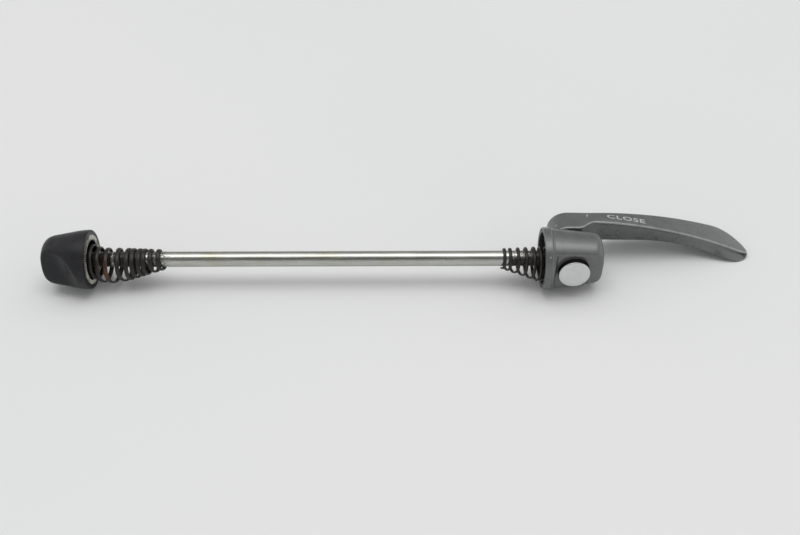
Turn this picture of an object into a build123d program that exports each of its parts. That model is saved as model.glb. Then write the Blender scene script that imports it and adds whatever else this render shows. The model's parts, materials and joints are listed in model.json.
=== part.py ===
from build123d import *
import math
import os

# Quick release skewer, in millimetres.
# X runs along the rod towards the lever, Z is up, and the origin lies on the rod's axis
# in the plane of the head's clamping rim. The lever stands as it lies on a table: half open.

# Rod
rod_d = 5.0
rod_past_nut_face = 12.5
rod_end_chamfer = 0.5

# Span between the two clamping faces, and running clearances
clamp_span = 145.0
journal_clearance = 0.05
thread_clearance = 0.05
side_clearance = 0.3
coil_clearance = 0.06

# Chords that stand for a turned round, and how far a cut reaches past what it cuts
round_chords = 3
past = 1.0

# Head
rim_r = 10.0
rim_width = 2.4
rim_break = 0.3
groove_depth = 0.25
groove_width = 0.7
rim_step = 0.3
body_end_r = 7.85
head_length = 19.0
head_end_round = 2.4
cup_wall = 1.55
cup_depth = 3.0
front_flat_y = 6.5
front_flat_taper = 4.0
front_wall_slope = 0.9
front_wall_gap = 0.4
back_flat_y = 7.2
lever_wall_x = 3.1

# Teeth of the clamping rings
tooth_count = 30
tooth_depth = 0.35
rim_tooth_reach = 0.9
ring_tooth_reach = 0.8

# Cam shaft
pivot_x = 9.5
cam_throw = 1.0
cam_r = 3.6
disc_r = 5.0
disc_proud = 1.65
disc_chamfer = 0.3
tail_r = 2.5
shank_side = 3.5
shank_length = 7.0

# Eye of the rod
eye_wall = 1.95
eye_thickness = 5.6
eye_play = 0.25

# Lever
boss_r = 6.0
boss_gap = 0.9
blade_length = 62.4
blade_near_y = 11.4
blade_root_y = 16.5
blade_mid_y = 18.9
blade_far_y = 21.5
nose_length = 11.4
blade_tip_y = 12.4
tip_rise = 1.2
neck_angle = -58.0
belly_drop = 5.45
belly_flat = 34.0
heel_back = 3.8
shoulder_start = 2.5
shoulder_width = 6.7
undercut = 3.6
far_lean = 4.0
lip_drop = 0.9
lip_share = 0.3
ridge_land = 0.6
ridge_bevel = 0.4

# Shape of the lever's near side: shares of the shoulder's length, rise and undercut, then of the blade
shoulder_shape = ((0, -0.06, 0), (0.25, 0.125, 0), (0.5, 0.5, 0), (0.75, 0.875, 0.05), (1, 1, 0.3))
undercut_shape = (
    (0.03, 0.75), (0.1, 1), (0.32, 0.95), (0.44, 0.76), (0.56, 0.5), (0.685, 0.12), (0.8, -0.25), (0.9, -0.4),
)

# Shape of its far side: shares of the way to the nose, and of the lean there
far_shape = (
    (0, 0), (0.06, 0.22), (0.12, 0.53), (0.18, 0.8), (0.25, 0.97), (0.35, 1), (0.5, 1), (0.62, 0.87),
    (0.75, 0.58), (0.88, 0.22), (1, 0),
)

# Springs
wire_d = 1.15
wire_sides = 5
runs_per_turn = 9
head_spring_gap = 0.18
head_spring_length = 15.9
head_spring_turns = 5.9
head_spring_wide_r = 5.4
head_spring_hang = 0.85
nut_spring_gap = 1.75
nut_spring_length = 21.4
nut_spring_turns = 8.5
nut_spring_wide_r = 5.8
nut_spring_hang = 0.6

# Nut
nut_rim_r = 9.6
nut_rim_width = 2.8
nut_rim_step = 0.6
nut_rim_break = 0.5
nut_cone_r = 9.3
nut_end_r = 7.1
nut_length = 15.0
nut_end_round = 3.0
nut_end_hole_r = 3.2
ring_r = 8.15
ring_width = 2.4
ring_proud = 0.15
recess_r = 6.25
recess_depth = 5.2
core_wall = 1.1
hub_r = 4.6
hub_length = 6.6
lock_ring_width = 1.6
lock_ring_r = 3.6
flat_end_depth = 4.9
flat_slope = 10.0
flat_length = 4.8
flat_runout_r = 7.7
flat_runout_turn = 60.0
flat_tilt = 17.5
flat_skew = 22.0

rod_r = rod_d / 2
wire_r = wire_d / 2
eye_half = eye_thickness / 2
cavity_half = eye_half + side_clearance
eye_hole_r = cam_r + eye_play
eye_r = eye_hole_r + eye_wall
eye_z = cam_throw / 2
blade_shelf_y = back_flat_y + boss_gap
blade_drop = rim_r
blade_fall = boss_r + blade_drop - tip_rise
blade_top_r = (blade_length ** 2 + blade_fall ** 2) / (2 * blade_fall)
nut_x = -clamp_span
rod_end_x = nut_x - rod_past_nut_face
body_root_r = rim_r - rim_step
cup_r = rim_r - cup_wall


def turned(points):
    """A solid of revolution about the X axis from (x, radius) corners."""
    return revolve(make_face(Polyline(*points, close=True)), Axis.X)


def rounded(before, corner, after, size):
    """A profile's corner as chords of a circle of this size that touches both of its sides."""
    corner = Vector(*corner)
    sides = [(Vector(*end) - corner).normalized() for end in (before, after)]
    half = sides[0].get_angle(sides[1]) / 2
    turn = math.radians(180 - 2 * half)
    centre = corner + (sides[0] + sides[1]).normalized() * (size / math.sin(math.radians(half)))
    ends = [corner + side * (size * math.tan(turn / 2)) - centre for side in sides]
    points = []
    for i in range(round_chords + 1):
        share = turn * i / round_chords
        weights = (math.sin(turn - share) / math.sin(turn), math.sin(share) / math.sin(turn))
        point = centre + ends[0] * weights[0] + ends[1] * weights[1]
        points.append((point.X, point.Y))
    return points


def across(radius, near_y, far_y, z=0.0):
    """A round bar parallel to Y at the pivot."""
    bar = Plane(origin=(pivot_x, near_y, z), z_dir=(0, 1, 0)) * Circle(radius)
    return extrude(bar, far_y - near_y)


def ring_of_notches(x, inner_r, outer_r):
    """Radial V notches round the X axis, cut into a face that lies at x."""
    side = tooth_depth * math.sqrt(2)
    length = outer_r - inner_r
    notch = Pos(x, 0, (inner_r + outer_r) / 2) * Rot(0, 0, 45) * Box(side, side, length)
    return [Rot(360 * i / tooth_count, 0, 0) * notch for i in range(tooth_count)]


def make_head():
    groove_x = rim_width + groove_width / 2
    body_x = rim_width + groove_width
    root = (body_x, body_root_r)
    tail = (head_length, 0)
    head = turned([
        (0, 0), (0, rim_r - rim_break), (rim_break, rim_r), (rim_width - rim_break, rim_r),
        (rim_width, rim_r - rim_break), (groove_x, body_root_r - groove_depth), root,
        *rounded(root, (head_length, body_end_r), tail, head_end_round), tail,
    ])
    head -= turned([(0, 0), (0, cup_r), (cup_depth, cup_r), (cup_depth, 0)])

    cavity_end = pivot_x + eye_r + cam_throw + side_clearance
    cavity_size = (cavity_end, 2 * cavity_half, 2 * (eye_r + eye_z + side_clearance))
    head -= Box(*cavity_size, align=(Align.MIN, Align.CENTER, Align.CENTER))
    head -= across(disc_r + journal_clearance, -rim_r, 0)
    head -= across(tail_r + journal_clearance, 0, rim_r)

    wall_x = rim_width + front_wall_gap
    flat_x = wall_x + front_wall_slope
    past_x = head_length + past
    flat_end_y = front_flat_y - (past_x - flat_x) * math.tan(math.radians(front_flat_taper))
    front = Polyline(
        (wall_x, -rim_r), (flat_x, -front_flat_y), (past_x, -flat_end_y), (past_x, -rim_r), close=True,
    )
    back = Polyline(
        (lever_wall_x, rim_r), (lever_wall_x, back_flat_y),
        (past_x, back_flat_y), (past_x, rim_r), close=True,
    )
    for outline in (front, back):
        head -= extrude(make_face(outline), rim_r, both=True)
    return head - ring_of_notches(0, cup_r - tooth_depth, cup_r + rim_tooth_reach)


def make_rod():
    shank = turned([
        (rod_end_x, 0), (rod_end_x, rod_r - rod_end_chamfer),
        (rod_end_x + rod_end_chamfer, rod_r), (pivot_x - eye_hole_r, rod_r), (pivot_x - eye_hole_r, 0),
    ])
    eye_plane = Plane(origin=(pivot_x, 0, eye_z), x_dir=(0, 0, 1), z_dir=(0, -1, 0))
    eye = extrude(eye_plane * Circle(eye_r), eye_half, both=True)
    hole = extrude(eye_plane * SlotCenterToCenter(cam_throw, 2 * eye_hole_r), rod_d, both=True)
    return shank + eye - hole


def make_cam_shaft():
    disc_y = -front_flat_y - disc_proud
    shank_y = blade_shelf_y
    disc = across(disc_r, disc_y, -cavity_half)
    disc = chamfer(disc.edges().sort_by(Axis.Y)[0], disc_chamfer)
    cam = across(cam_r, -cavity_half, cavity_half, cam_throw)
    tail = across(tail_r, cavity_half, shank_y)
    shank = Pos(pivot_x, shank_y + shank_length / 2, 0) * Box(shank_side, shank_length, shank_side)
    return disc + cam + tail + shank


def blade_top(s):
    """Height of the blade's marked face at distance s from the pivot."""
    return boss_r - blade_top_r + math.sqrt(blade_top_r ** 2 - s ** 2)


def blade_belly(s):
    """Height of the blade's lower edge: level as far as belly_flat, then falling to the heel."""
    fall = max(s - belly_flat, 0) / (blade_length - heel_back - belly_flat)
    return -belly_drop - (blade_drop - belly_drop) * fall ** 2


def blade_side_outline():
    """Boss and blade seen along the pivot, in X and Z about the pivot."""
    neck_turn = math.radians(neck_angle)
    neck = (boss_r * math.cos(neck_turn), boss_r * math.sin(neck_turn))
    level = (belly_flat, -belly_drop)
    heel = (blade_length - heel_back, -blade_drop)
    tip = (blade_length, blade_top(blade_length))
    mid = blade_length / 2
    belly = Line(neck, level)
    return make_face([
        ThreePointArc((0, boss_r), (-boss_r, 0), neck),
        belly,
        TangentArc(level, heel, tangent=belly % 1),
        TangentArc(heel, tip, tangent=(1, 0)),
        ThreePointArc(tip, (mid, blade_top(mid)), (0, boss_r)),
    ])


def far_section(s, top_y, lean):
    """Cross section of what is trimmed from the far side: the wall leans out from the marked face down."""
    top = blade_top(s)
    slope = lean / (top - blade_belly(s))
    clear = 2 * blade_drop
    out_y = 2 * blade_far_y
    corners = [
        (top_y - slope * clear, top + clear), (out_y, top + clear),
        (out_y, top - 2 * clear), (top_y + slope * 2 * clear, top - 2 * clear),
    ]
    plane = Plane(origin=(s, 0, 0), x_dir=(0, 1, 0), z_dir=(1, 0, 0))
    return plane * make_face(Polyline(*corners, close=True))


def blade_far_cut():
    """What is trimmed from the far side: a leaning side as far as the nose, then a round nose."""
    root = (boss_r, blade_root_y)
    wide = (blade_length - nose_length, blade_far_y)
    tip = (blade_length, blade_tip_y)
    side = ThreePointArc(root, (blade_length / 2, blade_mid_y), wide)
    nose = TangentArc(wide, tip, tangent=side % 1)
    clear = 2 * blade_far_y
    end = 2 * blade_length
    rest = Polyline(tip, (end, blade_tip_y), (end, clear), (wide[0], clear), wide)
    cut = extrude(make_face([nose, *rest.edges()]), clear, both=True)
    sections = [far_section(-boss_r - past, blade_root_y, 0)]
    for share, lean in far_shape:
        place = side @ share
        sections.append(far_section(place.X, place.Y, lean * far_lean))
    return cut + loft(sections, ruled=True)


def near_section(s, ridge_y, lean, bevel):
    """Cross section of what is trimmed from the near side: a bevel down to the ridge, then leaning under."""
    top = blade_top(s)
    clear = 2 * blade_drop
    lip = top - ridge_land - lip_drop
    low = min(blade_belly(s), lip - lip_drop)
    low_y = ridge_y + lean
    lip_y = ridge_y + lip_share * max(lean, 0)
    out_y = blade_shelf_y - boss_r
    corners = [
        (out_y, top + clear), (ridge_y + bevel + clear, top + clear), (ridge_y, top - bevel),
        (ridge_y, top - ridge_land), (lip_y, lip), (low_y, low), (low_y, low - clear), (out_y, low - clear),
    ]
    plane = Plane(origin=(s, 0, 0), x_dir=(0, 1, 0), z_dir=(1, 0, 0))
    return plane * make_face(Polyline(*corners, close=True))


def blade_near_cut():
    """The near side: an S shaped shoulder steps it clear of the head, then it leans under."""
    rise = blade_near_y - blade_shelf_y
    shoulder_end = shoulder_start + shoulder_width
    reach = blade_length - shoulder_end
    sections = []
    for share, step, lean in shoulder_shape:
        s = shoulder_start + share * shoulder_width
        sections.append(near_section(s, blade_shelf_y + step * rise, lean * undercut, share * ridge_bevel))
    for share, lean in undercut_shape:
        s = shoulder_end + share * reach
        sections.append(near_section(s, blade_near_y, lean * undercut, ridge_bevel))
    sections.append(near_section(blade_length + ridge_land, blade_tip_y, 0, ridge_bevel))
    return loft(sections)


def make_lever():
    side_plane = Plane(origin=(0, blade_shelf_y, 0), x_dir=(1, 0, 0), z_dir=(0, -1, 0))
    lever = extrude(side_plane * blade_side_outline(), -blade_far_y)
    lever -= blade_far_cut()
    lever -= blade_near_cut()
    shank_hole = Pos(0, blade_shelf_y, 0) * Box(
        shank_side, 2 * (shank_length + side_clearance), shank_side)
    return Pos(pivot_x, 0, 0) * (lever - shank_hole)


def make_spring(wide_x, direction, length, turns, wide_r, hang):
    """Conical coil of short runs, its wide end at wide_x, that hangs on the rod as far as hang says."""
    narrow_r = (rod_r + coil_clearance + wire_r) / math.cos(math.pi / runs_per_turn)
    pitch = direction * (length - wire_d) / turns
    narrow_x = wide_x - direction * (length - wire_r)
    flare = (wide_r - narrow_r) / turns
    sections = []
    for i in range(round(turns * runs_per_turn) + 1):
        turn = i / runs_per_turn
        angle = direction * 2 * math.pi * turn
        sine, cosine = math.sin(angle), math.cos(angle)
        radius = narrow_r + flare * turn
        sweep_rate = direction * 2 * math.pi * radius
        place = (narrow_x + pitch * turn, radius * sine, -radius * cosine - hang * flare * turn)
        along = (pitch, flare * sine + sweep_rate * cosine, sweep_rate * sine - flare * cosine - hang * flare)
        across_wire = Plane(place, x_dir=(0, sine, -cosine), z_dir=along)
        sections.append(across_wire * RegularPolygon(wire_r, wire_sides))
    return loft(sections, ruled=True)


def make_nut_core():
    face_x = nut_x + ring_proud
    ring_back = nut_x - ring_width
    floor_x = nut_x - recess_depth
    hub_end = floor_x - hub_length
    pocket_x = hub_end + lock_ring_width
    wall_r = recess_r + core_wall
    bore_r = rod_r + thread_clearance
    core = turned([
        (face_x, recess_r), (face_x, ring_r), (ring_back, ring_r), (ring_back, wall_r),
        (floor_x - core_wall, wall_r), (floor_x - core_wall, hub_r), (hub_end, hub_r), (hub_end, lock_ring_r),
        (pocket_x, lock_ring_r), (pocket_x, bore_r), (floor_x, bore_r), (floor_x, recess_r),
    ])
    return core - ring_of_notches(face_x, ring_r - ring_tooth_reach, ring_r + tooth_depth)


def make_lock_ring():
    hub_end = nut_x - recess_depth - hub_length
    bore_r = rod_r + thread_clearance
    return turned([
        (hub_end, bore_r), (hub_end, lock_ring_r),
        (hub_end + lock_ring_width, lock_ring_r), (hub_end + lock_ring_width, bore_r),
    ])


def finger_flat():
    """The cut for one finger flat: a sloping plane with a hollow run-out towards the rim, set askew."""
    lift = math.radians(flat_slope)
    turn = math.radians(flat_runout_turn)
    flat_h = flat_end_depth + flat_length * math.tan(lift)
    runout = [
        (flat_length + flat_runout_r * (math.sin(lift + a) - math.sin(lift)),
         flat_h + flat_runout_r * (math.cos(lift) - math.cos(lift + a)))
        for a in (turn / 2, turn)
    ]
    clear = 2 * nut_rim_r
    start = (-clear, flat_end_depth - clear * math.tan(lift))
    edges = [
        Line(start, (flat_length, flat_h)),
        ThreePointArc((flat_length, flat_h), *runout),
        *Polyline(runout[1], (runout[1][0], clear), (start[0], clear), start).edges(),
    ]
    skew = math.radians(flat_skew)
    side = Plane(
        origin=(nut_x - nut_length, 0, 0),
        x_dir=(math.cos(skew), 0, -math.sin(skew)), z_dir=(math.sin(skew), 0, math.cos(skew)))
    return extrude(side * make_face(edges), clear, both=True)


def make_nut_cap():
    end_x = nut_x - nut_length
    rim_back = nut_x - nut_rim_width
    ring_back = nut_x - ring_width
    wall_back = nut_x - recess_depth - core_wall
    hub_end = nut_x - recess_depth - hub_length
    wall_r = recess_r + core_wall
    cone = (rim_back - nut_rim_step, nut_cone_r)
    middle = (end_x, 0)
    cap = turned([
        (nut_x, 0), (nut_x, nut_rim_r - nut_rim_break), (nut_x - nut_rim_break, nut_rim_r),
        (rim_back, nut_rim_r), cone, *rounded(cone, (end_x, nut_end_r), middle, nut_end_round), middle,
    ])
    for half_turn in (0, 180):
        cap -= Rot(180 - flat_tilt + half_turn, 0, 0) * finger_flat()
    return cap - turned([
        (nut_x, 0), (nut_x, ring_r), (ring_back, ring_r), (ring_back, wall_r), (wall_back, wall_r),
        (wall_back, hub_r), (hub_end, hub_r), (hub_end, nut_end_hole_r), (end_x, nut_end_hole_r), (end_x, 0),
    ])


nodes = {
    "head_body": make_head(),
    "rod": make_rod(),
    "cam_shaft": make_cam_shaft(),
    "lever": make_lever(),
    "head_spring": make_spring(
        cup_depth - head_spring_gap, 1,
        head_spring_length, head_spring_turns, head_spring_wide_r, head_spring_hang),
    "nut_cap": make_nut_cap(),
    "nut_core": make_nut_core(),
    "nut_lock_ring": make_lock_ring(),
    "nut_spring": make_spring(
        nut_x + ring_proud + nut_spring_gap, -1,
        nut_spring_length, nut_spring_turns, nut_spring_wide_r, nut_spring_hang),
}

os.makedirs("parts", exist_ok=True)
for name, solid in nodes.items():
    export_step(solid, f"parts/{name}.step")
    print(name, round(solid.volume, 1))
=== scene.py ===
# %% [markdown]
# # A quick release skewer on a studio table
#
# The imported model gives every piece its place, in metres, in one shared frame. This lesson dresses
# that frame: it makes the pieces whose fine form is easier as a surface, gives each finish its own
# material, and lights the whole for a picture taken from above and in front.

# %% Load the frame
import json
import math

import bmesh
import bpy
import numpy as np
from mathutils import Matrix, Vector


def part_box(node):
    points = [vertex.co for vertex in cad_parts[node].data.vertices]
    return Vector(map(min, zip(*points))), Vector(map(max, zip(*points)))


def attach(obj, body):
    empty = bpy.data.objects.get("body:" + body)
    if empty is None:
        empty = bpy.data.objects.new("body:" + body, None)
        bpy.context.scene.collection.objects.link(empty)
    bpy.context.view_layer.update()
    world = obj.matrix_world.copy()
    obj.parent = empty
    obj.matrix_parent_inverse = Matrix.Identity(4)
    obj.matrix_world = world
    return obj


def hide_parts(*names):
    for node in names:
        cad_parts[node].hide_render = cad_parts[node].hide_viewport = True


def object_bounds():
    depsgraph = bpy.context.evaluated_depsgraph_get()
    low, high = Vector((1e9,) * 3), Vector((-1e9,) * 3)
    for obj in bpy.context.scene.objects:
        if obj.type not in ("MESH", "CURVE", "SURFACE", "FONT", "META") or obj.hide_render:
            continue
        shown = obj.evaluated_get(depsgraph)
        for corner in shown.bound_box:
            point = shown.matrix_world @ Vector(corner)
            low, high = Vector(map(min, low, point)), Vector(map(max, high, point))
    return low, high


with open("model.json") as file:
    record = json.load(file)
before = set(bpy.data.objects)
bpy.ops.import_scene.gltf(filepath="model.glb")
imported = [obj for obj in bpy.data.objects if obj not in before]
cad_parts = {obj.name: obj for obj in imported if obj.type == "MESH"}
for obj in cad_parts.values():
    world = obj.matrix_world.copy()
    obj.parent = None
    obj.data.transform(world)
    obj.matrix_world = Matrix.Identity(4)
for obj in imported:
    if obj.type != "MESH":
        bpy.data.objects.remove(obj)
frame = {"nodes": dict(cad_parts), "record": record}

MM = 0.001
cad_box = [list(corner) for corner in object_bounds()]
nodes = frame["nodes"]
print("nodes:", sorted(nodes))
print("box in mm:", np.round(np.array(cad_box) / MM, 2).tolist())

# %% [markdown]
# ## Reading sizes from the frame
#
# A dressed piece has to sit exactly where its solid sits. The sizes that the solids fix are therefore
# read from the frame instead of being typed again: the pivot from its joint, the rod from its mount,
# and the reach of each piece from its box.

# %% Sizes that come from the frame, in millimetres
def box_mm(node):
    """Lowest and highest corner of a node's solid, in millimetres."""
    return [np.array(corner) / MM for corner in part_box(node)]


record = frame["record"]
joint_place = {joint["name"]: joint.get("pos_m", [0, 0, 0]) for joint in record["behaviour"]["joints"]}
mount_dims = {mount["name"]: mount["dims"] for mount in record["mounts"]}
pivot_x = joint_place["lever_swing"][0] / MM
rod_r = mount_dims["axle_rod"]["r_mm"]
rod_low, rod_high = box_mm("rod")
lever_low, lever_high = box_mm("lever")
head_low, head_high = box_mm("head_body")
shaft_low, shaft_high = box_mm("cam_shaft")
cap_low, cap_high = box_mm("nut_cap")
core_low, core_high = box_mm("nut_core")
table_z = cad_box[0][2] / MM
print("pivot at x", pivot_x, "rod radius", rod_r, "table at z", round(table_z, 2))

# %% [markdown]
# ## Camera
#
# The picture is taken from 42 degrees above the table, straight across the rod, by a camera held a
# fraction of a degree off level. It aims at the middle of the skewer, and its focal length follows from
# how fast the two ends shrink away from it. A camera at rest looks down, so raising its elevation means
# turning it less than a right angle about X.

# %% Place the camera
view_elevation = math.radians(42)
view_roll = math.radians(-0.17)
view_distance = 305.0
view_middle_x = -45.7
view_rise = -2.9
view_forward = np.array([0, math.cos(view_elevation), -math.sin(view_elevation)])
view_up = np.array([0, math.sin(view_elevation), math.cos(view_elevation)])
view_place = np.array([view_middle_x, 0, 0]) - view_distance * view_forward + view_rise * view_up

camera_data = bpy.data.cameras.new("camera")
camera_data.sensor_width = 36
camera_data.lens = 42.525
camera = bpy.data.objects.new("camera", camera_data)
camera.location = view_place * MM
tipped = Matrix.Rotation(math.pi / 2 - view_elevation, 3, "X") @ Matrix.Rotation(view_roll, 3, "Z")
camera.rotation_euler = tipped.to_euler()
bpy.context.collection.objects.link(camera)
scene = bpy.context.scene
scene.camera = camera
scene.view_settings.view_transform = "Standard"
print("camera at", np.round(view_place, 1).tolist(), "mm")

# %% [markdown]
# ## A small kit for materials
#
# Every finish here is built from the same few parts: noise read in the piece's own coordinates, a curve
# that turns the noise into a mask, a blend of two colours, and a bump. Short helpers for those keep each
# finish readable. Coordinates arrive in metres and are turned into millimetres first, so that a scale of
# one gives one feature to a millimetre.

# %% Material helpers
mix_inputs, mix_output = (0, 6, 7), 2    # a Mix node's sockets for a share, two colours and their blend


class Nodes:
    """A node tree under construction, with one method for each kind of node that is used here."""

    def __init__(self, owner):
        owner.use_nodes = True
        self.tree = owner.node_tree

    def add(self, kind, **settings):
        """A new node of one kind, with its settings."""
        node = self.tree.nodes.new("ShaderNode" + kind)
        for key, value in settings.items():
            setattr(node, key, value)
        return node

    def feed(self, socket, value):
        """Link a node's output to a socket, or write a plain number or colour on it."""
        if isinstance(value, bpy.types.NodeSocket):
            self.tree.links.new(value, socket)
        else:
            socket.default_value = value

    def mask(self, value, low, high, to_low=0.0, to_high=1.0):
        """A value stretched so that low gives to_low and high gives to_high, held outside."""
        node = self.add("MapRange", interpolation_type="SMOOTHSTEP")
        for socket, number in zip(("Value", "From Min", "From Max", "To Min", "To Max"),
                                  (value, low, high, to_low, to_high)):
            self.feed(node.inputs[socket], number)
        return node.outputs["Result"]

    def math(self, operation, first, second=0.0):
        """Two values joined by an operation. One that takes a single value passes over the second."""
        node = self.add("Math", operation=operation)
        self.feed(node.inputs[0], first)
        self.feed(node.inputs[1], second)
        return node.outputs["Value"]

    def blend(self, share, first, second):
        """First colour where share is 0, second where it is 1."""
        node = self.add("Mix", data_type="RGBA")
        factor, first_colour, second_colour = (node.inputs[number] for number in mix_inputs)
        self.feed(factor, share)
        self.feed(first_colour, first if isinstance(first, bpy.types.NodeSocket) else (*first, 1))
        self.feed(second_colour, second if isinstance(second, bpy.types.NodeSocket) else (*second, 1))
        return node.outputs[mix_output]


class Finish(Nodes):
    """A material and its nodes, whose patterns lie in the piece's own coordinates."""

    def __init__(self, name, **sockets):
        self.material = bpy.data.materials.new(name)
        super().__init__(self.material)
        self.shader = self.tree.nodes["Principled BSDF"]
        for socket, value in sockets.items():
            self.shader.inputs[socket.replace("_", " ")].default_value = value

    def place(self, stretch=(1, 1, 1), shift_mm=(0, 0, 0)):
        """Object coordinates in millimetres about a point, squeezed along each axis by stretch."""
        coords = self.add("TexCoord")
        mapping = self.add("Mapping", vector_type="TEXTURE")
        mapping.inputs["Location"].default_value = np.array(shift_mm) * MM
        mapping.inputs["Scale"].default_value = MM / np.array(stretch)
        self.feed(mapping.inputs["Vector"], coords.outputs["Object"])
        return mapping.outputs["Vector"]

    def noise(self, per_mm, detail=3.0, rough=0.55, stretch=(1, 1, 1), distort=0.0, offset=0.0):
        """Cloudy noise about 0.5, with so many features to a millimetre."""
        node = self.add("TexNoise")
        self.feed(node.inputs["Vector"], self.place(stretch, (offset, offset, offset)))
        settings = {"Scale": per_mm, "Detail": detail, "Roughness": rough, "Distortion": distort}
        for socket, value in settings.items():
            node.inputs[socket].default_value = value
        return node.outputs["Fac"]

    def attribute(self, name):
        """A mark that was stored on the points of the mesh."""
        return self.add("Attribute", attribute_name=name).outputs["Fac"]

    def bump(self, height, depth_mm, strength=1.0):
        """Normals tilted as if a height from 0 to 1 stood up by a depth in millimetres."""
        node = self.add("Bump")
        node.inputs["Strength"].default_value = strength
        node.inputs["Distance"].default_value = depth_mm * MM
        self.feed(node.inputs["Height"], height)
        return node.outputs["Normal"]

    def near(self, place_mm, reach_mm, stretch=(1, 1, 1)):
        """1 about a point and 0 beyond a reach in millimetres, which is longer where stretch is small."""
        away = self.add("VectorMath", operation="LENGTH")
        self.feed(away.inputs[0], self.place(stretch, place_mm))
        return self.mask(away.outputs["Value"], 0.5 * reach_mm, reach_mm, 1.0, 0.0)

    def shade(self, colour=None, roughness=None, metallic=None, normal=None):
        """Feed the shader what is given, and hand over the finished material."""
        for socket, value in (("Base Color", colour), ("Roughness", roughness),
                              ("Metallic", metallic), ("Normal", normal)):
            if value is not None:
                self.feed(self.shader.inputs[socket], value)
        print("finish", self.material.name, "with", len(self.tree.nodes), "nodes")
        return self.material


print("finish helpers ready")

# %% [markdown]
# ## Surfaces from grids of points
#
# A turned rod, a coiled wire and a forged lever are all sheets of points with two directions: along and
# around. One helper numbers the points of such a sheet and joins neighbours into four-sided faces, and a
# second one merges the sheets of a piece into one closed skin. Working on whole arrays keeps it quick.

# %% Grid helpers
merge_mm = 0.0005


def grid_faces(rows, columns, start, wrap_rows, wrap_columns):
    """Faces of a grid numbered row by row: each joins a point to its neighbours in both directions."""
    index = start + np.arange(rows * columns).reshape(rows, columns)
    if wrap_columns:
        index = np.hstack([index, index[:, :1]])
    if wrap_rows:
        index = np.vstack([index, index[:1]])
    cells = [index[:-1, :-1], index[1:, :-1], index[1:, 1:], index[:-1, 1:]]
    return np.stack(cells, axis=-1).reshape(-1, 4)


def with_closed_ends(points):
    """The grid with a row added at each end, in which every point is the middle of the end ring."""
    first = np.repeat(points[:1].mean(axis=1, keepdims=True), points.shape[1], axis=1)
    last = np.repeat(points[-1:].mean(axis=1, keepdims=True), points.shape[1], axis=1)
    return np.concatenate([first, points, last])


def make_mesh(name, grids, marks=None):
    """One closed skin from (points in mm, wrap rows, wrap columns) grids, merged where they meet."""
    faces, start = [], 0
    for points, wrap_rows, wrap_columns in grids:
        rows, columns = points.shape[:2]
        faces.append(grid_faces(rows, columns, start, wrap_rows, wrap_columns))
        start += rows * columns
    mesh = bpy.data.meshes.new(name)
    places = np.concatenate([points.reshape(-1, 3) for points, _, _ in grids]) * MM
    mesh.from_pydata(places.tolist(), [], np.concatenate(faces).tolist())
    for mark, values in (marks or {}).items():
        layer = mesh.attributes.new(mark, "FLOAT", "POINT")
        layer.data.foreach_set("value", np.concatenate([v.ravel() for v in values]).astype(np.float32))
    close_skin(mesh)
    return mesh


def close_skin(mesh):
    """Merge points that meet and turn every face outwards."""
    skin = bmesh.new()
    skin.from_mesh(mesh)
    bmesh.ops.remove_doubles(skin, verts=skin.verts, dist=merge_mm * MM)
    bmesh.ops.recalc_face_normals(skin, faces=skin.faces)
    skin.to_mesh(mesh)
    skin.free()
    mesh.polygons.foreach_set("use_smooth", np.ones(len(mesh.polygons), bool))


def drill(piece, cutters):
    """Take closed grids out of a piece, as a drill or a mill would."""
    tools = []
    for points in cutters:
        tool = bpy.data.objects.new("cutter", make_mesh("cutter", [(points, False, True)]))
        bpy.context.collection.objects.link(tool)
        cut = piece.modifiers.new("cut", "BOOLEAN")
        cut.operation = "DIFFERENCE"
        cut.object = tool
        tools.append(tool)
    shaped = piece.evaluated_get(bpy.context.evaluated_depsgraph_get())
    piece.data = bpy.data.meshes.new_from_object(shaped)
    piece.modifiers.clear()
    for tool in tools:
        bpy.data.objects.remove(tool)


def add_piece(name, mesh, body, finish, stands_for=(), crease_deg=40, cutters=()):
    """Put a mesh in the scene: its finish, the body it rides on and the solids it stands for."""
    mesh.materials.append(finish)
    piece = bpy.data.objects.new(name, mesh)
    bpy.context.collection.objects.link(piece)
    if cutters:
        drill(piece, cutters)
    piece.data.set_sharp_from_angle(angle=math.radians(crease_deg))
    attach(piece, body)
    if stands_for:
        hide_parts(*stands_for)
    skin = bmesh.new()
    skin.from_mesh(piece.data)
    print(name, len(skin.faces), "faces,", sum(not edge.is_manifold for edge in skin.edges), "open edges")
    skin.free()


print("three rings of four points make", len(grid_faces(3, 4, 0, False, True)), "faces")

# %% [markdown]
# ## The rod
#
# The rod is a drawn steel bar with a thread rolled on its free end and an eye forged at the other. A
# thread could be modelled as a separate swept ridge, but it is simpler as a bar whose radius depends on
# both the place along it and the angle round it: following one groove round the bar once moves it along
# by one pitch, so the depth is a wave of the place less the share of a turn.

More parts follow.
